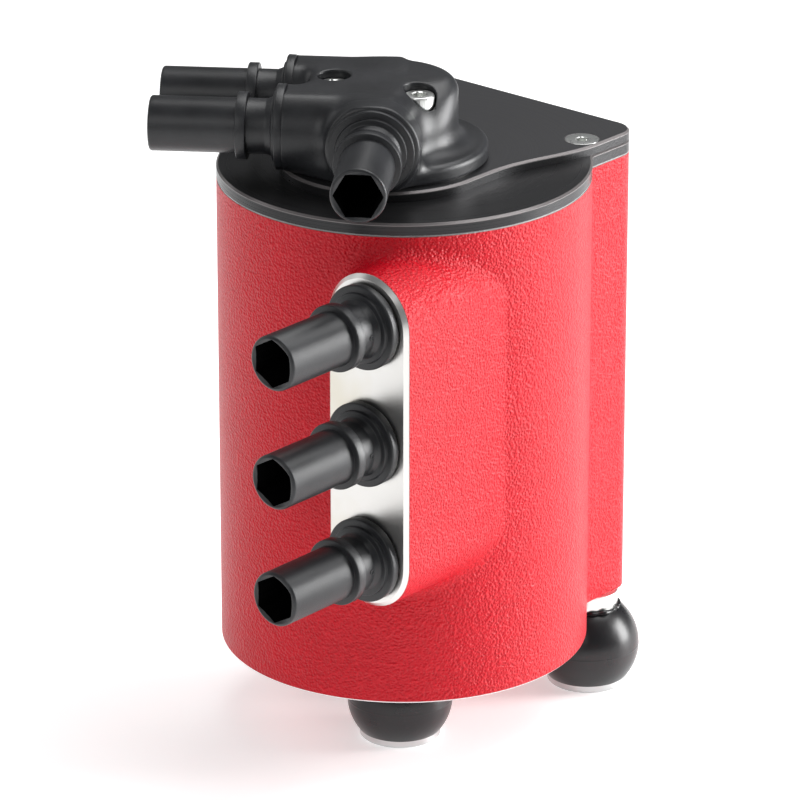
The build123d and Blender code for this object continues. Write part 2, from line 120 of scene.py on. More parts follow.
camera_data = bpy.data.cameras.new("camera")
camera_data.lens = LENS_MM
camera_data.sensor_width = 36
camera_data.clip_end = 20
camera = bpy.data.objects.new("camera", camera_data)
bpy.context.scene.collection.objects.link(camera)
around = radians(VIEW_AROUND)
camera.location = (
    AXIS.x + VIEW_AWAY * sin(around),
    AXIS.y - VIEW_AWAY * cos(around),
    CAN_LOW + VIEW_HEIGHT,
)
camera.rotation_euler = (radians(VIEW_PITCH), 0, radians(VIEW_TURN))
bpy.context.scene.camera = camera
print("camera stands", round(camera.location.z, 3), "m up, lens", LENS_MM, "mm")

# %% [markdown]
# Soft boxes in a studio are area lights here, because their size sets how soft a streak on
# the coat or a highlight on a tube is. The world adds a weak even fill.

# %% Light
def soft_light(name, place, size, power, target):
    """A rectangular area light at place, turned so that its face looks at target."""
    data = bpy.data.lights.new(name, "AREA")
    data.shape = "RECTANGLE"
    data.size, data.size_y = size
    data.energy = power
    lamp = bpy.data.objects.new(name, data)
    lamp.location = place
    lamp.rotation_euler = (Vector(target) - Vector(place)).to_track_quat("-Z", "Y").to_euler()
    bpy.context.scene.collection.objects.link(lamp)


middle_of_can = (AXIS.x, AXIS.y, 0.10)
soft_light("right_panel", (0.80, 0.80, 0.34), (0.45, 0.64), 18, middle_of_can)
soft_light("left_panel", (-1.05, -0.20, 0.45), (0.8, 1.1), 2.0, middle_of_can)
soft_light("top_panel", (0.05, 0.45, 1.20), (1.3, 0.8), 12, middle_of_can)
soft_light("front_panel", (0.10, -1.30, 0.85), (1.0, 0.7), 4, middle_of_can)

world = bpy.data.worlds.new("studio")
world.use_nodes = True
world.node_tree.nodes["Background"].inputs["Color"].default_value = (0.93, 0.94, 0.96, 1)
world.node_tree.nodes["Background"].inputs["Strength"].default_value = 0.16
bpy.context.scene.world = world
bpy.context.scene.view_settings.view_transform = "Standard"
bpy.context.scene.view_settings.look = "None"

# %% [markdown]
# The floor is a large pale sheet under the feet. A little emission lifts it to the white of
# a studio sweep without more light falling on the object.

# %% Floor
floor_mesh = bpy.data.meshes.new("floor")
FLOOR_HALF = 6.0
corners = [(-1, -1), (1, -1), (1, 1), (-1, 1)]
floor_points = [(x * FLOOR_HALF, y * FLOOR_HALF, cad_box[0][2]) for x, y in corners]
floor_mesh.from_pydata(floor_points, [], [(0, 1, 2, 3)])
floor = bpy.data.objects.new("floor", floor_mesh)
floor_paint = bpy.data.materials.new("pale_floor")
floor_paint.use_nodes = True
floor_shader = floor_paint.node_tree.nodes["Principled BSDF"]
floor_shader.inputs["Base Color"].default_value = (0.92, 0.92, 0.92, 1)
floor_shader.inputs["Emission Color"].default_value = (1, 1, 1, 1)
floor_shader.inputs["Emission Strength"].default_value = 0.48
floor_mesh.materials.append(floor_paint)
bpy.context.scene.collection.objects.link(floor)
print("floor at", round(cad_box[0][2], 4), "m")

# %% [markdown]
# ## Writing shader maths as Python
#
# A wrapped socket lets a mask be written as an expression. Each operator adds the Math node
# that it stands for, and every other node comes from one method that sets it up.

# %% A small class that wraps sockets
class Wire:
    """A value socket of a material's node tree, with arithmetic that adds Math nodes."""

    def __init__(self, tree, socket):
        self.tree = tree
        self.socket = socket

    def maths(self, operation, *others, clamp=False):
        """This value through one Math node, with the other values on its next sockets."""
        node = self.tree.nodes.new("ShaderNodeMath")
        node.operation = operation
        node.use_clamp = clamp
        for slot, value in zip(node.inputs, (self, *others)):
            connect(self.tree, slot, value)
        return Wire(self.tree, node.outputs[0])

    def __add__(self, other):
        return self.maths("ADD", other)

    def __sub__(self, other):
        return self.maths("SUBTRACT", other)

    def __mul__(self, other):
        return self.maths("MULTIPLY", other)

    def __truediv__(self, other):
        return self.maths("DIVIDE", other)

    def __rsub__(self, other):
        return (self * -1) + other

    __radd__ = __add__
    __rmul__ = __mul__

    def between(self, low, high):
        """0 below low, 1 above high, and a straight ramp from one to the other."""
        return ((self - low) / (high - low)).maths("MULTIPLY", 1, clamp=True)

    def below(self, limit, soft):
        """1 well below the limit, 0 above it, with an edge of the given softness."""
        return 1 - self.between(limit - soft, limit + soft)

    def above(self, limit, soft):
        """0 well below the limit, 1 above it, with an edge of the given softness."""
        return self.between(limit - soft, limit + soft)


def connect(tree, slot, value):
    """Link a wire to a socket, or set the socket's own value."""
    if isinstance(value, Wire):
        tree.links.new(value.socket, slot)
    else:
        slot.default_value = value


class Finish:
    """A material with one Principled shader and a few short ways to add nodes."""

    def __init__(self, name, **settings):
        self.material = bpy.data.materials.new(name)
        self.material.use_nodes = True
        self.tree = self.material.node_tree
        self.shader = self.tree.nodes["Principled BSDF"]
        for socket, value in settings.items():
            self.set(socket.replace("_", " "), value)

    def set(self, socket, value):
        """Give one of the shader's sockets a wire or a value."""
        connect(self.tree, self.shader.inputs[socket], value)

    def node(self, kind, settings=None, out=0, **inputs):
        """Any node: its settings are set first, then the values or links of its sockets."""
        node = self.tree.nodes.new("ShaderNode" + kind)
        for key, value in (settings or {}).items():
            setattr(node, key, value)
        for key, value in inputs.items():
            connect(self.tree, node.inputs[key.replace("_", " ")], value)
        return Wire(self.tree, node.outputs[out])

    def place(self):
        """The surface point, in metres, in the frame of the whole object."""
        return self.node("TexCoord", out="Object")

    def parts(self):
        """The point's x, y and z as three wires."""
        node = self.tree.nodes.new("ShaderNodeSeparateXYZ")
        connect(self.tree, node.inputs[0], self.place())
        return [Wire(self.tree, out) for out in node.outputs]

    def noise(self, scale, detail=2.0, roughness=0.5, at=None):
        """Cloudy noise between 0 and 1, scale lumps to the metre."""
        where = at or self.place()
        return self.node("TexNoise", Vector=where, Scale=scale, Detail=detail, Roughness=roughness)

    def cells(self, scale, smoothness):
        """Distance to the nearest of scattered points, with the borders between cells smoothed."""
        settings = {"feature": "SMOOTH_F1"}
        inputs = {"Vector": self.place(), "Scale": scale, "Smoothness": smoothness}
        return self.node("TexVoronoi", settings, out="Distance", **inputs)

    def blend(self, factor, low, high):
        """A colour that goes from low to high with the factor."""
        node = self.tree.nodes.new("ShaderNodeMix")
        node.data_type = "RGBA"
        for slot, value in zip((0, 6, 7), (factor, low, high)):
            connect(self.tree, node.inputs[slot], value)
        return Wire(self.tree, node.outputs[2])

    def bump(self, height, distance, strength=1.0, under=None):
        """Bump from a height between 0 and 1, distance metres deep, over another bump."""
        inputs = {"Height": height, "Distance": distance, "Strength": strength}
        if under:
            inputs["Normal"] = under
        return self.node("Bump", **inputs)


def rgb(r, g, b):
    """A full colour from its red, green and blue."""
    return (r, g, b, 1.0)


print("shader helpers", Wire.__name__, "and", Finish.__name__)

# %% [markdown]
# ## Surfaces from arrays
#
# Every new piece below is a grid of points worked out with numpy. A grid closes on itself
# round an axis, so a turned part needs only its profile, and rounded corners are arcs that
# are cut into the profile beforehand.

# %% Turn a grid of points into a mesh object
def grid_faces(rows, columns):
    """Four-sided faces of a grid whose columns run round and close on themselves."""
    here = np.arange(rows - 1)[:, None] * columns
    column = np.arange(columns)[None, :]
    ahead = (column + 1) % columns
    corners = [here + column, here + ahead, here + columns + ahead, here + columns + column]
    return np.stack(corners, axis=-1).reshape(-1, 4)


def piece_from(name, points, faces, material, sharp=38):
    """A smooth-shaded piece of the housing, in metres, from points in millimetres about the can's axis.

    Edges that turn by more than sharp degrees stay crisp."""
    mesh = bpy.data.meshes.new(name)
    place = np.array([AXIS.x, AXIS.y, CAN_LOW])
    mesh.from_pydata((points.reshape(-1, 3) * MM + place), [], faces.tolist())
    mesh.validate()
    mesh.shade_smooth()
    mesh.set_sharp_from_angle(angle=radians(sharp))
    piece = bpy.data.objects.new(name, mesh)
    bpy.context.scene.collection.objects.link(piece)
    mesh.materials.append(material)
    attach(piece, "housing")
    return piece


def rounded(corners, steps=6):
    """A profile through (r, z, radius) corners, each rounded by an arc of that radius.

    The arc leaves one side a distance radius * tan(half the turn) before the corner and
    meets the next side as far after it, and its points turn about the arc's centre."""
    corners = np.array(corners, float)
    points = [corners[0, :2]]
    for before, here, after in zip(corners[:-2], corners[1:-1], corners[2:]):
        radius = here[2]
        back = (before - here)[:2] / np.linalg.norm((before - here)[:2])
        ahead = (after - here)[:2] / np.linalg.norm((after - here)[:2])
        half = np.arccos(np.clip(back @ ahead, -1, 1)) / 2
        if radius == 0 or half > pi / 2 - 0.01:
            points.append(here[:2])
            continue
        centre = here[:2] + (back + ahead) / np.linalg.norm(back + ahead) * radius / sin(half)
        start = here[:2] + back * radius / np.tan(half) - centre
        end = here[:2] + ahead * radius / np.tan(half) - centre
        t = np.linspace(0, 1, steps)[:, None]
        sweep = pi - 2 * half
        points.extend(centre + (np.sin((1 - t) * sweep) * start + np.sin(t * sweep) * end) / sin(sweep))
    points.append(corners[-1, :2])
    return np.array(points)


def turned(profile, segments=96):
    """A surface of revolution: each (r, z) of the profile becomes a ring of points."""
    angle = np.arange(segments) * 2 * pi / segments
    r, z = profile[:, 0, None], profile[:, 1, None]
    return np.stack([r * np.cos(angle), r * np.sin(angle), z + 0 * angle], axis=-1)


def stood(points, origin, forward, across):
    """Carry points drawn up the Z axis to origin, with their Z along forward and X along across."""
    forward = np.array(forward, float)
    across = np.array(across, float)
    side = np.cross(forward, across)
    return (
        origin
        + points[..., 0, None] * across
        + points[..., 1, None] * side
        + points[..., 2, None] * forward
    )


print("a ring of 8 points closes with", len(grid_faces(2, 8)), "faces")

# %% [markdown]
# ## Red wrinkle powder coat and bare metal
#
# The can is coated before its port face and its two rims are cut clean, so one part shows
# two finishes. Masks on the point's own place choose between them: bare where the point
# lies in the face's last millimetre, or on the small chamfer of a rim. The chamfers are also
# painted near white and half metallic, a painted highlight on the bare metal. The coat's fine
# leathery wrinkle is a soft cell pattern about a millimetre across, bent by noise.

# %% Coat and bare metal of the can
RIM_WIDTH = 0.0005
RIM_SOFT = 0.00008
FACE_EDGE = 0.0012
FACE_SOFT = 0.00006
COAT_DEPTH = 0.00048
SCRATCH_DEPTH = 0.000008


def wrinkle(finish):
    """Height of the coat's skin: smooth cells of uneven size, stretched by a slow noise."""
    lumps = finish.cells(1250, 0.6)
    fine = finish.noise(2300, 2.0, 0.6)
    swell = finish.noise(420, 2.0)
    return lumps * 0.9 + fine * 0.45 + swell * 0.35


def brushed(finish, scale=(30, 30, 2600)):
    """Long fine scratches: noise on a point that is stretched in one direction."""
    stretched = finish.node("Mapping", Vector=finish.place(), Scale=scale)
    return finish.noise(1.0, 4.0, 0.65, at=stretched)


powder = Finish("red_wrinkle_coat")
x, y, z = powder.parts()
upper_rim = z.above(CAN_TOP - RIM_WIDTH, RIM_SOFT)
rim = upper_rim.maths("MAXIMUM", z.below(CAN_LOW + RIM_WIDTH, RIM_SOFT))
bare = rim.maths("MAXIMUM", y.below(PORT_FACE_Y + FACE_EDGE, FACE_SOFT))
tone = powder.noise(45, 4.0)
skin = wrinkle(powder)
red = powder.blend(tone.between(0.3, 0.7), rgb(0.55, 0.001, 0.011), rgb(0.62, 0.0015, 0.014))
# Painted light and shade: the red is lighter on the wrinkle's crests and darker in its hollows.
red = powder.blend(skin.between(0.75, 1.35), red, rgb(0.68, 0.004, 0.016))
scratches = brushed(powder, (900, 40, 22))
haze = powder.noise(28, 3.0).between(0.52, 0.72)
metal = powder.blend(haze, rgb(0.80, 0.79, 0.765), rgb(0.70, 0.655, 0.54))
# Painted highlight: the bare rim chamfers are coloured near white, lighter than the bare face.
metal = powder.blend(rim, metal, rgb(0.93, 0.93, 0.93))
powder.set("Base Color", powder.blend(bare, red, metal))
# The chamfers are only half metallic, so their painted highlight shows from any side.
powder.set("Metallic", bare - rim * 0.5)
coat_gloss = powder.noise(1200, 2.0) * 0.12 + 0.31
powder.set("Roughness", coat_gloss * (1 - bare) + bare * 0.30)
wrinkled = powder.bump(skin * (1 - bare), COAT_DEPTH, 1.0)
powder.set("Normal", powder.bump(scratches * bare, SCRATCH_DEPTH, 0.3, under=wrinkled))
powder.set("Specular IOR Level", 0.30)
print(powder.material.name, len(powder.tree.nodes), "nodes")

# %% [markdown]
# ## Black anodised lid
#
# Turned on a lathe and then anodised: rings about the can's axis on the low part, a plain
# satin on the raised pad, and a paler line painted on the chamfers as a highlight.

# %% Anodised plate
LOW_TOP = CAN_TOP + 3.5 * MM
BAND = 0.0008
BAND_SOFT = 0.0001
TOP_MARGIN = 0.00004
TOP_SOFT = 0.00002
RING_DEPTH = 0.00003
DUST_DEPTH = 0.00002
anodised = Finish("black_anodised_plate", Metallic=0.55)
x, y, z = anodised.parts()
from_axis = ((x - AXIS.x) * (x - AXIS.x) + (y - AXIS.y) * (y - AXIS.y)).maths("SQRT")
ring_point = anodised.node("CombineXYZ", X=from_axis, Y=0.0, Z=z)
rings = anodised.noise(3800, 2.0, 0.6, at=ring_point)
slow_rings = anodised.noise(260, 2.0, 0.5, at=ring_point)
pad = z.above(LID_TOP - BAND, BAND_SOFT)
dust = anodised.noise(4200, 2.0)
shade = slow_rings * 0.5 + dust * 0.25
black = anodised.blend(shade, rgb(0.014, 0.014, 0.015), rgb(0.052, 0.052, 0.054))
black = anodised.blend(pad, black, rgb(0.058, 0.058, 0.061))
# Painted highlight: the chamfers of the low part and of the pad are coloured a pale brownish grey.
low_chamfer_highlight = z.above(LOW_TOP - BAND, BAND_SOFT) * z.below(LOW_TOP - TOP_MARGIN, TOP_SOFT)
pad_chamfer_highlight = z.above(LID_TOP - BAND, BAND_SOFT) * z.below(LID_TOP - TOP_MARGIN, TOP_SOFT)
black = anodised.blend(low_chamfer_highlight.maths("MAXIMUM", pad_chamfer_highlight), black, rgb(0.20, 0.185, 0.185))
anodised.set("Base Color", black)
anodised.set("Roughness", rings * 0.14 + pad * 0.12 + 0.22)
turned_bump = anodised.bump(rings * (1 - pad), RING_DEPTH, 0.7)
anodised.set("Normal", anodised.bump(dust, DUST_DEPTH, 0.35, under=turned_bump))
print(anodised.material.name, len(anodised.tree.nodes), "nodes")

# %% [markdown]
# ## Moulded black plastic
#
# Glass-filled nylon comes out of its mould with a dull skin, a very fine grain and faint
# cloudy patches, a little greyer where the glass fibre lies near the surface. The inside of
# a spigot's bore gets a second, nearly black material, which is painted shade for the deep hole.

# %% Moulded nylon
GRAIN_DEPTH = 0.00007
nylon = Finish("glass_filled_nylon", Specular_IOR_Level=0.5)
# Painted shade: the walls inside each spigot's bore are coloured nearly black.
bore_painted_shade = Finish("bore_shade", Roughness=0.9, Specular_IOR_Level=0.05)
bore_painted_shade.set("Base Color", rgb(0.0012, 0.0012, 0.0014))
cloud = nylon.noise(70, 5.0, 0.6)
grain = nylon.noise(2600, 3.0, 0.7)
shade = cloud.between(0.3, 0.75)
nylon.set("Base Color", nylon.blend(shade, rgb(0.009, 0.0095, 0.011), rgb(0.024, 0.025, 0.028)))
nylon.set("Roughness", cloud * 0.12 + grain * 0.14 + 0.24)
nylon.set("Normal", nylon.bump(grain, GRAIN_DEPTH, 0.7))
print(nylon.material.name, "and", bore_painted_shade.material.name)

# %% [markdown]
# ## Rubber and the plain metals
#
# The balls' rubber is black and a little shiny, with a dull bloom in patches and a few specks
# of dust. The plain metals differ only in tone, gloss and the way their scratches run, so one
# function makes them all. The knitted wire is a pattern of two sines, since nobody sees it
# closely and thousands of real loops would only slow the model down.

# %% Rubber
BLOOM_DEPTH = 0.00008
rubber = Finish("ball_rubber", Specular_IOR_Level=0.5)
bloom = rubber.noise(90, 4.0)
specks = rubber.noise(900, 2.0).between(0.62, 0.8)
shade = bloom * 0.6 + specks * 0.3
rubber.set("Base Color", rubber.blend(shade, rgb(0.005, 0.005, 0.006), rgb(0.020, 0.020, 0.022)))
rubber.set("Roughness", bloom * 0.18 + 0.2)
rubber.set("Normal", rubber.bump(rubber.noise(500, 3.0), BLOOM_DEPTH, 0.4))
print(rubber.material.name, len(rubber.tree.nodes), "nodes")

# %% Plain metals
LINE_DEPTH = 0.00002


def metal_finish(name, dark, light, roughness, scale):
    """A bare metal whose tone and gloss follow fine stretched scratches."""
    finish = Finish(name, Metallic=1.0)
    lines = brushed(finish, scale)
    patches = finish.noise(60, 3.0)
    finish.set("Base Color", finish.blend(lines * 0.6 + patches * 0.4, dark, light))
    finish.set("Roughness", lines * 0.15 + roughness)
    finish.set("Normal", finish.bump(lines, LINE_DEPTH, 0.6))
    return finish


zinc = metal_finish("zinc_plate", rgb(0.70, 0.71, 0.70), rgb(0.90, 0.91, 0.88), 0.22, (700, 700, 60))
steel = metal_finish("turned_steel", rgb(0.50, 0.50, 0.50), rgb(0.76, 0.76, 0.76), 0.25, (40, 40, 2600))
brass = metal_finish("turned_brass", rgb(0.55, 0.38, 0.14), rgb(0.80, 0.62, 0.30), 0.25, (60, 60, 2200))
wire_steel = metal_finish(
    "spring_wire", rgb(0.35, 0.35, 0.36), rgb(0.62, 0.62, 0.63), 0.28, (400, 400, 400)
)
aluminium = metal_finish(
    "machined_aluminium", rgb(0.68, 0.68, 0.68), rgb(0.86, 0.86, 0.86), 0.28, (50, 50, 2000)
)
print("plain metals", [m.material.name for m in (zinc, steel, brass, wire_steel, aluminium)])

# %% Knitted wire
LOOPS_ROUND = 44
LOOP_RATE = 2600
LOOP_DEPTH = 0.0006
mesh_wire = Finish("knitted_wire", Metallic=1.0)
x, y, z = mesh_wire.parts()
turn_angle = (y - HEAD_AXIS.y).maths("ARCTAN2", x - HEAD_AXIS.x)
loops = (turn_angle * LOOPS_ROUND).maths("SINE") * (z * LOOP_RATE).maths("SINE")
shade = loops.between(-0.6, 0.6)
mesh_wire.set("Base Color", mesh_wire.blend(shade, rgb(0.12, 0.12, 0.12), rgb(0.62, 0.62, 0.62)))
mesh_wire.set("Roughness", loops * 0.1 + 0.4)
mesh_wire.set("Normal", mesh_wire.bump(loops.between(-1, 1), LOOP_DEPTH, 0.8))
print(mesh_wire.material.name, len(mesh_wire.tree.nodes), "nodes")

# %% [markdown]
# ## Finishes on the CAD pieces that stay as they are
#
# Turned and pressed pieces inside the can, and the seals, already have their true shape.
# They keep their CAD mesh and only get the right material.

# %% Give the CAD nodes their finishes
NODE_FINISH = {
    "can_body": powder,
    "lid": anodised,
    "head_gasket": rubber,
    "lid_o_ring": rubber,
    "side_port_o_rings": rubber,
    "head_port_o_rings": rubber,
    "valve_seat": brass,
    "valve_poppet": brass,
    "valve_guide": nylon,
    "valve_spring": wire_steel,
    "outlet_tube": aluminium,
    "mesh_element": mesh_wire,
    "element_cap": aluminium,
    "element_clip": wire_steel,
    "baffle_plate": aluminium,
}
for node, finish in NODE_FINISH.items():
    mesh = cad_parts[node].data
    mesh.materials.clear()
    mesh.materials.append(finish.material)
print("finished", len(NODE_FINISH), "CAD nodes")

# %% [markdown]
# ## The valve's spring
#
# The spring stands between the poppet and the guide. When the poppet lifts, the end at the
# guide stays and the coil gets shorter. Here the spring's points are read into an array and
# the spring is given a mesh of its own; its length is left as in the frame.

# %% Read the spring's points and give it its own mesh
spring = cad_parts["valve_spring"]
coil = np.empty(len(spring.data.vertices) * 3)
spring.data.vertices.foreach_get("co", coil)
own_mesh(spring)

# %% [markdown]
# ## Quick-connect spigots
#
# All six are one moulding: a round shank in its socket, a flange over a dark joint line, a
# low step ring, a neck with a tiny mould mark, a square bead that a connector clips behind
# and a plain tube. The bore is a hexagon, and a cone at the mouth cuts its corners back.

# %% Hexagonal holes and small rings
SEGMENTS = 144


def hexagon(angle, flats):
    """Distance from the centre to a hexagon's side: half of flats / cos(angle off the nearest flat)."""
    off = (angle + pi / 6) % (pi / 3) - pi / 6
    return flats / 2 / np.cos(off)


def hexagon_rings(radii, heights, flats):
    """Rings no nearer to the axis than a hexagon's side, so a cone meets a hexagonal hole cleanly."""
    angle = np.arange(SEGMENTS) * 2 * pi / SEGMENTS
    radius = np.maximum(hexagon(angle, flats)[None, :], np.array(radii)[:, None])
    height = np.array(heights)[:, None] + 0 * angle
    return np.stack([radius * np.cos(angle), radius * np.sin(angle), height], axis=-1)


def ring_of(major, minor, segments=28, section=10):
    """A plain torus about Z: radius major + minor cos t, height minor sin t."""
    t = np.linspace(0, 2 * pi, section + 1)
    return turned(np.stack([major + minor * np.cos(t), minor * np.sin(t)], axis=1), segments)


def joined(*grids):
    """Put several grids, each closed round its columns, into one list of points and faces."""
    points = np.concatenate([grid.reshape(-1, 3) for grid in grids])
    starts = np.cumsum([0] + [grid.shape[0] * grid.shape[1] for grid in grids[:-1]])
    faces = [grid_faces(*grid.shape[:2]) + start for grid, start in zip(grids, starts)]
    return points, np.concatenate(faces)


print("across a hexagon's corners", round(2 * hexagon(pi / 6, 1.0), 3), "times its flats")

# %% Draw one spigot
TUBE_R = 7.91
BEAD_R = 9.65
BEAD_LOW = 11.2
BEAD_HIGH = 14.2
TIP_Z = 39.2
MOUTH_R = 7.1
MOUTH_CONE = 0.9
LIP_SLOPE = 0.5
BORE_FLATS = 12.3
BORE_SEEN = 20.0
MARK_AT = (7.92, 0, 6.9)
outside = rounded(
    [
        (8.9, -1.0, 0),
        (8.9, 0.5, 0.1),
        (12.2, 0.5, 0.2),
        (12.3, 3.0, 0.45),
        (10.3, 3.0, 0.1),
        (10.1, 3.8, 0.3),
        (8.6, 4.0, 0.5),
        (TUBE_R, 5.8, 0.8),
        (TUBE_R, BEAD_LOW, 0.15),
        (BEAD_R, BEAD_LOW, 0.35),
        (BEAD_R, BEAD_HIGH, 0.35),
        (TUBE_R, BEAD_HIGH, 0.12),
        (TUBE_R, TIP_Z, 0.8),
        (MOUTH_R, TIP_Z, 0),
    ],
    steps=5,
)
tube_skin = turned(outside, SEGMENTS)
cone = np.linspace(0, MOUTH_CONE, 7)
bore = hexagon_rings(MOUTH_R - cone, TIP_Z - cone * LIP_SLOPE, BORE_FLATS)
deep = hexagon_rings([0, 0], [TIP_Z - MOUTH_CONE, TIP_Z - BORE_SEEN], BORE_FLATS)
end = deep[-1:] * np.array([0.01, 0.01, 1])
spigot = np.concatenate([tube_skin, bore[1:], deep[1:], end])
mark = stood(ring_of(0.66, 0.22), np.array(MARK_AT), (1, 0, 0), (0, 1, 0))
spigot_points, spigot_faces = joined(spigot, mark)
first_corner = spigot_faces.min(axis=1)
bore_from = (len(tube_skin) + len(bore) - 2) * SEGMENTS
in_bore = (first_corner >= bore_from) & (first_corner < len(spigot) * SEGMENTS)
print("a spigot has", len(spigot_faces), "faces,", int(in_bore.sum()), "of them in its bore")

# %% Stand it on its six seats
SEAT_TO_MIDDLE = 12.6


def drawn(place):
    """A place of the frame, in metres, as millimetres about the can's axis and above its rim."""
    return (np.array(place) - np.array([AXIS.x, AXIS.y, CAN_LOW])) / MM


near, far = (drawn(node_middle(f"head_spigot_left_{side}")) for side in ("near", "far"))
HEAD_Y_WAY = (far - near) / np.linalg.norm(far - near)
HEAD_X_WAY = np.array([HEAD_Y_WAY[1], -HEAD_Y_WAY[0], 0])
SPIGOT_WAYS = {
    "side_spigot_upper": (np.array([0, -1, 0]), (1, 0, 0)),
    "side_spigot_middle": (np.array([0, -1, 0]), (1, 0, 0)),
    "side_spigot_lower": (np.array([0, -1, 0]), (1, 0, 0)),
    "head_spigot_left_near": (-HEAD_X_WAY, (0, 0, -1)),
    "head_spigot_left_far": (-HEAD_X_WAY, (0, 0, -1)),
    "head_spigot_front": (-HEAD_Y_WAY, (0, 0, -1)),
}
for node, (way, across) in SPIGOT_WAYS.items():
    seat = drawn(node_middle(node)) - way * SEAT_TO_MIDDLE
    placed = stood(spigot_points, seat, way, across)
    piece = piece_from(f"{node}_moulding", placed, spigot_faces, nylon.material)
    # The bore's faces take the painted shade.
    piece.data.materials.append(bore_painted_shade.material)
    piece.data.polygons.foreach_set("material_index", in_bore.astype(np.int32))
    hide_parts(node)
head_turn = np.degrees(atan2(HEAD_X_WAY[1], HEAD_X_WAY[0]))
print("six spigots stand, head turned", round(float(head_turn), 2), "degrees")

# %% [markdown]
# ## Moulded valve head
#
# The head is one flowing casting, so it is written as a distance field: round bars and a web
# joined by smooth unions, which are the mould's blends, with pockets and bores cut out. A
# surface is drawn through the field's zero on a fine lattice, and every point is then
# moved down the field's slope until it lies exactly on the surface.

# %% The head as a distance field
CELL = 0.5
FLOOR_GAP = 0.8
SOCKET_Z = 12.5
LEFT_AT = (-13.3, 13.3)
LEFT_END = -28.1
FRONT_AT = -1.5
FRONT_END = -31.7
POCKETS = ((-15.5, 0.3), (9.6, -8.1))
POCKET_LOW = 16.7
POCKET_R = 4.8
BELOW = -6
FLANGE_R = 28.7
FLANGE_TOP = 5.4
DRUM_R = 20.0
DRUM_TOP = 23.9
FACET_AT = np.array([10.5, -12.5, 19.0])
FACET_WAY = np.array([0.36, -0.56, 0.74])
LEFT_R = 12.3
FRONT_R = 12.2
FRONT_LIP_R = 13.1
FRONT_LIP_BACK = -24
ROOF_Z = 24.0
SEAT_HOLE_R = 9.0
SEAT_HOLE_DEEP = 14.5
PASSAGE_R = 5.5
VALVE_HOLE_TOP = 10.5


def bar(p, along, a, b, radius, low, high, edge=0.02):
    """Distance to a round bar along one axis through (a, b), its rims rounded by edge.

    With q = (off-axis distance - radius + edge, distance past the middle - half length + edge)
    it is |max(q, 0)| + min(max(q), 0) - edge."""
    u, v = [i for i in range(3) if i != along]
    q = np.stack(
        [
            np.hypot(p[..., u] - a, p[..., v] - b) - radius + edge,
            np.abs(p[..., along] - (low + high) / 2) - (high - low) / 2 + edge,
        ]
    )
    return np.hypot(*np.maximum(q, 0)) + np.minimum(q.max(axis=0), 0) - edge


def block(p, middle, half, edge):
    """Distance to a box with rounded edges, written as the bar's but with three terms."""
    q = np.abs(p - np.array(middle)) - np.array(half) + edge
    return np.linalg.norm(np.maximum(q, 0), axis=-1) + np.minimum(q.max(axis=-1), 0) - edge


def union(a, b, k):
    """Smooth union: min(a, b) - h * h * k / 4 with h = max(k - |a - b|, 0) / k."""
    h = np.maximum(k - np.abs(a - b), 0) / k
    return np.minimum(a, b) - h * h * k / 4


def cut(a, b, k):
    """What is left of a after b is taken away, with a lip softened by k."""
    return -union(-a, b, k)


def head_field(p):
    """Distance to the head's surface in the head's own axes, in millimetres above the pad."""
    flange = bar(p, 2, 0, 0, FLANGE_R, BELOW, FLANGE_TOP, 1.8)
    drum = bar(p, 2, 0, 0, DRUM_R, BELOW, DRUM_TOP, 4.2)
    facet = (p - FACET_AT) @ (FACET_WAY / np.linalg.norm(FACET_WAY))
    drum = cut(drum, -facet, 4.0)
    web = block(p, (-9.5, 0, 9), (13, 13.0, 14.9), 2.5)
    lefts = union(*[bar(p, 0, y, SOCKET_Z, LEFT_R, LEFT_END, 2, 0.35) for y in LEFT_AT], 2.0)
    front = bar(p, 1, FRONT_AT, SOCKET_Z, FRONT_LIP_R, FRONT_END, FRONT_LIP_BACK, 0.5)
    front = union(front, bar(p, 1, FRONT_AT, SOCKET_Z, FRONT_R, FRONT_END, 2, 0.5), 3.0)
    whole = union(union(drum, web, 3.0), lefts, 4.0)
    whole = union(whole, front, 4.5)
    roof = p[..., 2] - ROOF_Z - 0.12 * np.maximum(-16 - p[..., 1], 0)
    whole = cut(whole, -roof, 1.2)
    whole = union(whole, flange, 6.0)
    for x, y in POCKETS:
        whole = cut(whole, bar(p, 2, x, y, POCKET_R, POCKET_LOW, 40), 0.5)
    for y in LEFT_AT:
        whole = cut(whole, bar(p, 0, y, SOCKET_Z, SEAT_HOLE_R, -40, LEFT_END + SEAT_HOLE_DEEP), 0.3)
        whole = cut(whole, bar(p, 0, y, SOCKET_Z, PASSAGE_R, -40, 3), 0.3)
    whole = cut(whole, bar(p, 1, FRONT_AT, SOCKET_Z, SEAT_HOLE_R, -60, FRONT_END + SEAT_HOLE_DEEP), 0.3)
    whole = cut(whole, bar(p, 1, FRONT_AT, SOCKET_Z, PASSAGE_R, -60, 0), 0.3)
    whole = cut(whole, bar(p, 2, 0, 0, SEAT_HOLE_R, -20, VALVE_HOLE_TOP), 0.3)
    return cut(whole, p[..., 2] - FLOOR_GAP, 0.3)


print("field at the drum's top", round(float(head_field(np.array([[0, 0, DRUM_TOP]]))[0]), 2), "mm")

# %% [markdown]
# A field is only numbers in space. To turn it into faces, the space is divided into small
# cells, each cell that the surface crosses gets one point, and neighbouring points are
# joined. The points then slide down the field's slope onto the surface, and the slope also
# gives the normals, so that the blends shade as smoothly as the real moulding.

# %% Draw the surface through the field
CORNERS = np.array([(i, j, k) for i in (0, 1) for j in (0, 1) for k in (0, 1)])
PAIRS = [(a, b) for a in range(8) for b in range(a + 1, 8)]
CELL_EDGES = [(a, b) for a, b in PAIRS if np.abs(CORNERS[a] - CORNERS[b]).sum() == 1]
SETTLE_ROUNDS = 3
LONGEST_STEP = 0.2


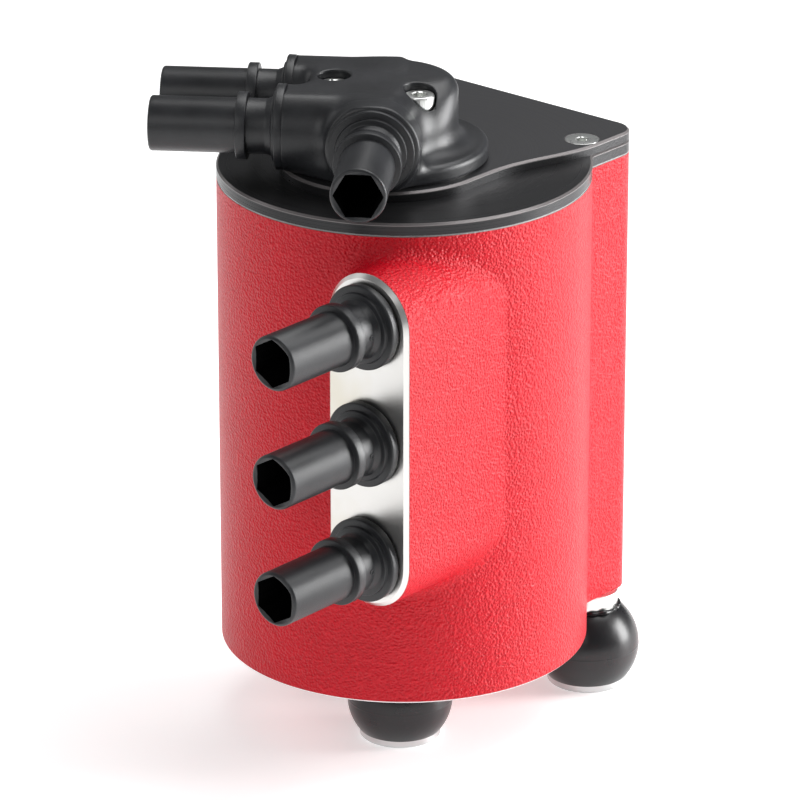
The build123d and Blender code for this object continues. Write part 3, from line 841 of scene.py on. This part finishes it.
def lattice_surface(field, low, step):
    """One point for each cell that the surface crosses, and one face for each crossed lattice edge.

    A cell's point is the mean of the places where the field changes sign along its twelve
    edges, and a crossed lattice edge joins the points of the four cells around it."""
    size = np.array(field.shape) - 1
    values = [field[i : i + size[0], j : j + size[1], k : k + size[2]] for i, j, k in CORNERS]
    total = np.zeros((*size, 3))
    count = np.zeros(size)
    for a, b in CELL_EDGES:
        crossed = (values[a] < 0) != (values[b] < 0)
        t = np.where(crossed, values[a] / np.where(crossed, values[a] - values[b], 1), 0)
        point = CORNERS[a] + t[..., None] * (CORNERS[b] - CORNERS[a])
        total += crossed[..., None] * point
        count += crossed
    used = count > 0
    number = np.cumsum(used).reshape(used.shape) - 1
    points = low + step * (np.argwhere(used) + total[used] / count[used][:, None])
    faces = []
    for axis in range(3):
        one, two = [i for i in range(3) if i != axis]
        here = np.moveaxis(field, (axis, one, two), (0, 1, 2))
        cells = np.moveaxis(number, (axis, one, two), (0, 1, 2))
        start, stop = here[:-1, 1:-1, 1:-1] < 0, here[1:, 1:-1, 1:-1] < 0
        around = [cells[:, :-1, :-1], cells[:, 1:, :-1], cells[:, 1:, 1:], cells[:, :-1, 1:]]
        quad = np.stack(around, axis=-1)
        flip = (start & ~stop) if axis != 1 else (~start & stop)
        faces.append(quad[(start != stop) & flip])
        faces.append(quad[(start != stop) & ~flip][:, ::-1])
    return points, np.concatenate(faces)


def slope_of(points, reach=0.04):
    """Slope of the field by central differences along the three axes."""
    ways = np.eye(3) * reach
    rises = [head_field(points + way) - head_field(points - way) for way in ways]
    return np.stack(rises, axis=-1) / (2 * reach)


low_corner = np.array([-28.5, -33.0, 0.2])
high_corner = np.array([30.0, 30.0, 28.0])
counts = np.ceil((high_corner - low_corner) / CELL).astype(int)
axes = [low_corner[i] + CELL * np.arange(counts[i] + 1) for i in range(3)]
lattice = np.stack(np.meshgrid(*axes, indexing="ij"), axis=-1)
head_points, head_faces = lattice_surface(head_field(lattice), low_corner, CELL)
for _ in range(SETTLE_ROUNDS):
    slope = slope_of(head_points)
    step = head_field(head_points)[:, None] * slope / np.maximum((slope**2).sum(axis=1), 0.3)[:, None]
    head_points = head_points - np.clip(step, -LONGEST_STEP, LONGEST_STEP)
slope = slope_of(head_points, 0.12)
head_normals = slope / np.linalg.norm(slope, axis=1)[:, None]
turn = np.stack([HEAD_X_WAY, HEAD_Y_WAY, np.array([0, 0, 1])])
head_origin = drawn((HEAD_AXIS.x, HEAD_AXIS.y, LID_TOP))
head_placed = head_origin + head_points @ turn
head = piece_from("valve_head_moulding", head_placed, head_faces, nylon.material, sharp=180)
head.data.normals_split_custom_set_from_vertices((head_normals @ turn).tolist())
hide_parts("valve_head")
print("valve head", len(head_points), "points", len(head_faces), "faces")

# %% [markdown]
# ## Screws
#
# Two countersunk screws hold the lid's square end and two cap screws sit in the head's
# pockets. Each has a hexagonal socket, and the cap screws have a fine knurl on their sides.

# %% Turned screws with hexagonal sockets
KNURLS = 36
THREAD_R = 2.45
CAP_HEAD_R = 4.25
CAP_TOP_Z = 21.7
FLAT_HEAD_R = 5.0


def screw(profile, flats, socket_depth, knurl):
    """A turned screw, top at Z = 0, whose side is rippled by knurl * sin(KNURLS * angle)."""
    body = turned(rounded(profile, steps=5), SEGMENTS)
    angle = np.arctan2(body[..., 1], body[..., 0])
    radius = np.hypot(body[..., 0], body[..., 1])
    side = (radius > 0.97 * radius.max()) & (body[..., 2] < -0.6)
    body[..., :2] *= (1 + knurl * side * np.sin(KNURLS * angle))[..., None]
    hole = hexagon_rings([flats * 0.6, 0, 0], [0, -0.2, -socket_depth], flats)
    return np.concatenate([body, hole, hole[-1:] * np.array([0.01, 0.01, 1.1])])


CAP_SCREW = [
    (0.02, -30, 0),
    (THREAD_R, -30, 0),
    (THREAD_R, -5, 0),
    (CAP_HEAD_R, -5, 0.1),
    (CAP_HEAD_R, 0, 0.5),
    (2.5, 0, 0),
]
FLAT_SCREW = [
    (0.02, -20, 0),
    (THREAD_R, -20, 0),
    (THREAD_R, -2.8, 0),
    (FLAT_HEAD_R, -0.25, 0.1),
    (4.9, 0, 0.12),
    (2.0, 0, 0),
]
low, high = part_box("lid_screws")
flat_x = (low[0] + FLAT_HEAD_R * MM, high[0] - FLAT_HEAD_R * MM)
flat_tops = [drawn((x, (low[1] + high[1]) / 2, high[2])) for x in flat_x]
cap_tops = [head_origin + np.array([x, y, CAP_TOP_Z]) @ turn for x, y in POCKETS]
for node, shape, tops in (
    ("lid_screws", (FLAT_SCREW, 3.3, 2.0, 0), flat_tops),
    ("head_screws", (CAP_SCREW, 4.0, 2.3, 0.014), cap_tops),
):
    points, faces = joined(*[screw(*shape) + top for top in tops])
    piece = piece_from(f"{node}_turned", points, faces, zinc.material, sharp=30)
    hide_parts(node)
print("screw heads at", [tuple(np.round(top, 1)) for top in flat_tops + cap_tops])

# %% [markdown]
# ## Rubber ball feet
#
# Each foot is a moulded ball between a round floor plate and a steel collar. The mould left
# a fine line round the middle of the ball and a ragged skin of rubber round the collar.

# %% Balls, plates and collars
BALL_R = 15.5
BALL_Z = 12.0
BASE_R = 11.9
COLLAR_R = 9.0
COLLAR_TOP = 29.5
RIDGE_HIGH = 0.06
RIDGE_WIDE = 0.2
SKIN_R = 9.35
SKIN_Z = 24.75
BALL_SEGMENTS = 128
FOOT_SEGMENTS = 96


def ragged(angle, seed):
    """An uneven edge: sines of 3, 7, 12 and 19 waves round the collar with shifted starts."""
    waves = np.array([3, 7, 12, 19])[:, None]
    size = np.array([0.30, 0.26, 0.28, 0.16])[:, None]
    return (size * np.sin(waves * angle + seed * waves * 1.7)).sum(axis=0)


def ball(seed):
    """Ball r = sqrt(R^2 - z^2), with a fine ridge at its middle, and the ragged ring at its top."""
    spans = [(2.2, 11.2, 26), (11.4, 12.6, 13), (12.8, 24.9, 34)]
    z = np.concatenate([np.linspace(*span) for span in spans])
    ridge = RIDGE_HIGH * np.exp(-(((z - BALL_Z) / RIDGE_WIDE) ** 2))
    radius = np.sqrt(BALL_R**2 - (z - BALL_Z) ** 2) + ridge
    skin = turned(np.stack([radius, z], axis=1), BALL_SEGMENTS)
    angle = np.arange(BALL_SEGMENTS) * 2 * pi / BALL_SEGMENTS
    edge = ragged(angle, seed)
    t = np.linspace(0, 2 * pi, 13)[:, None]
    radius = SKIN_R + 0.25 * edge + (0.75 + 0.45 * edge) * np.cos(t)
    height = SKIN_Z + 0.2 * edge + (0.55 + 0.3 * edge) * np.sin(t)
    return skin, np.stack([radius * np.cos(angle), radius * np.sin(angle), height], axis=-1)


plate = rounded([(0.02, 0, 0), (11.5, 0, 0.1), (BASE_R, 0.45, 0.1), (BASE_R, 2.5, 0.35), (8.5, 2.55, 0)])
collar = rounded(
    [
        (8.0, 23.0, 0),
        (8.7, 24.2, 0),
        (COLLAR_R, 24.6, 0.1),
        (COLLAR_R, COLLAR_TOP, 0.25),
        (4.0, COLLAR_TOP, 0),
    ]
)
for seed, foot in enumerate(("front", "middle", "rear")):
    low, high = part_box(f"foot_{foot}_base")
    origin = drawn(((low[0] + high[0]) / 2, (low[1] + high[1]) / 2, low[2]))
    for node, grids, finish, slot in (
        ("rubber", ball(seed + 1), rubber, "rubber_black"),
        ("base", [turned(plate, FOOT_SEGMENTS)], steel, "steel_plate"),
        ("stud", [turned(collar, FOOT_SEGMENTS)], zinc, "steel_plate"),
    ):
        points, faces = joined(*grids)
        piece = piece_from(f"foot_{foot}_{node}_made", points + origin, faces, finish.material)
        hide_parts(f"foot_{foot}_{node}")
print("three feet of three pieces, balls", 2 * BALL_R, "mm across")
